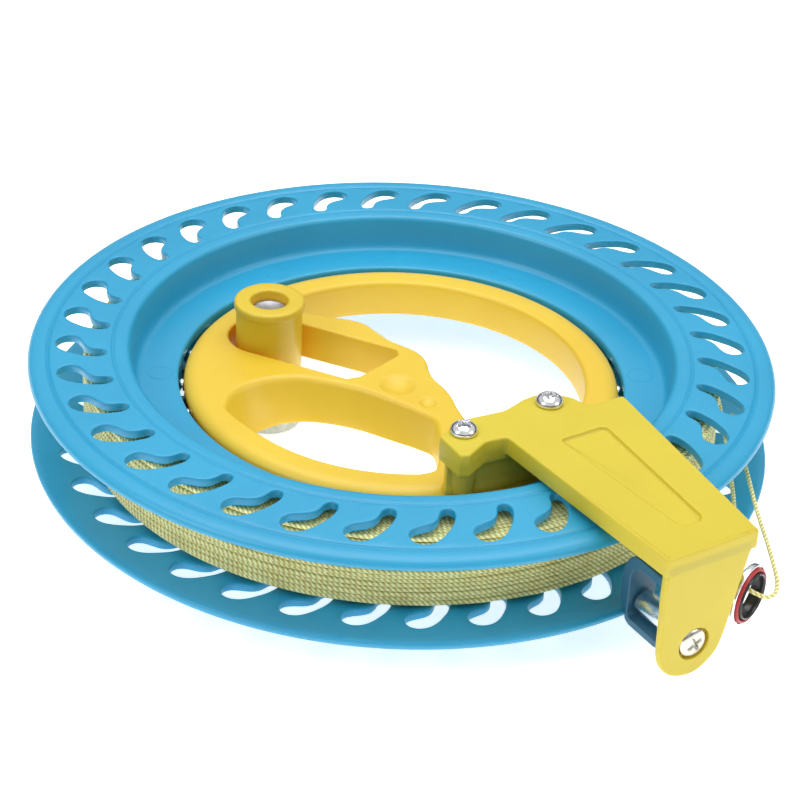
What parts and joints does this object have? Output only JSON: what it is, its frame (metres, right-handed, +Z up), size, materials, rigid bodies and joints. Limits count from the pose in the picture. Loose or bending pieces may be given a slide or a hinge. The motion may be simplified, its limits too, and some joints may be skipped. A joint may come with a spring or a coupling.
{
  "type": "hand-held line reel",
  "caption": "Two-flange line reel turning on a ball ring round a fixed grip hub, with a sliding lock post, a bolted guide arm, roller and eyelet.",
  "frame": {"origin": "centre of the bounding box in plan, at the height of the lowest point (the lock's lower flange)", "axes": "+Z up along the wheel's axis, +X right and -Y towards the viewer of the picture"},
  "size_m": [0.18, 0.184, 0.04],
  "materials": {
    "wheel_blue": "moulded, semi-gloss",
    "hub_yellow": "moulded, semi-gloss",
    "arm_yellow": "moulded, semi-gloss",
    "bracket_teal": "moulded, satin",
    "line": "twisted polyester line",
    "polished_steel": "polished",
    "zinc_screw": "zinc plated",
    "cage": "moulded",
    "shock_ring": "glossy",
    "ceramic": "polished hard ring"
  },
  "bodies": {
    "hub": {"grip_hub": "hub_yellow", "guide_arm": "arm_yellow", "arm_screw_1": "polished_steel", "arm_screw_2": "polished_steel", "guide_bracket": "bracket_teal", "guide_screw": "zinc_screw", "eyelet_frame": "polished_steel", "eyelet_shock_ring": "shock_ring", "eyelet_insert": "ceramic", "free_line": "line"},
    "wheel": {"wheel_upper_shell": "wheel_blue", "wheel_lower_shell": "wheel_blue", "wheel_screw_1": "zinc_screw", "wheel_screw_2": "zinc_screw", "wheel_screw_3": "zinc_screw", "wheel_screw_4": "zinc_screw", "wheel_screw_5": "zinc_screw", "wheel_screw_6": "zinc_screw", "line_winding": "line"},
    "bearing": {"ball_cage": "cage", "ball_01": "polished_steel", "ball_02": "polished_steel", "ball_03": "polished_steel", "ball_04": "polished_steel", "ball_05": "polished_steel", "ball_06": "polished_steel", "ball_07": "polished_steel", "ball_08": "polished_steel", "ball_09": "polished_steel", "ball_10": "polished_steel", "ball_11": "polished_steel", "ball_12": "polished_steel", "ball_13": "polished_steel", "ball_14": "polished_steel", "ball_15": "polished_steel", "ball_16": "polished_steel", "ball_17": "polished_steel", "ball_18": "polished_steel", "ball_19": "polished_steel", "ball_20": "polished_steel", "ball_21": "polished_steel", "ball_22": "polished_steel", "ball_23": "polished_steel", "ball_24": "polished_steel"},
    "roller": {"guide_roller": "polished_steel"},
    "lock": {"lock_post": "hub_yellow", "lock_pin": "polished_steel", "lock_flange": "polished_steel"}
  },
  "joints": [
    {"name": "wheel_spin", "type": "hinge", "parent": "hub", "child": "wheel", "pos_m": [0, 0.00214, 0.019], "axis": [0, 0, 1], "continuous": true},
    {"name": "cage_spin", "type": "hinge", "parent": "hub", "child": "bearing", "pos_m": [0, 0.00214, 0.019], "axis": [0, 0, 1], "continuous": true},
    {"name": "roller_spin", "type": "hinge", "parent": "hub", "child": "roller", "pos_m": [0.05951, -0.07721, 0.0124], "axis": [0.5505, -0.8348, 0], "continuous": true},
    {"name": "lock_slide", "type": "slide", "parent": "hub", "child": "lock", "axis": [0.9205, -0.3907, 0], "range_m": [0, 0.02]}
  ],
  "couplings": [
    {"joint": "cage_spin", "follows": "wheel_spin", "ratio": 0.515}
  ]
}
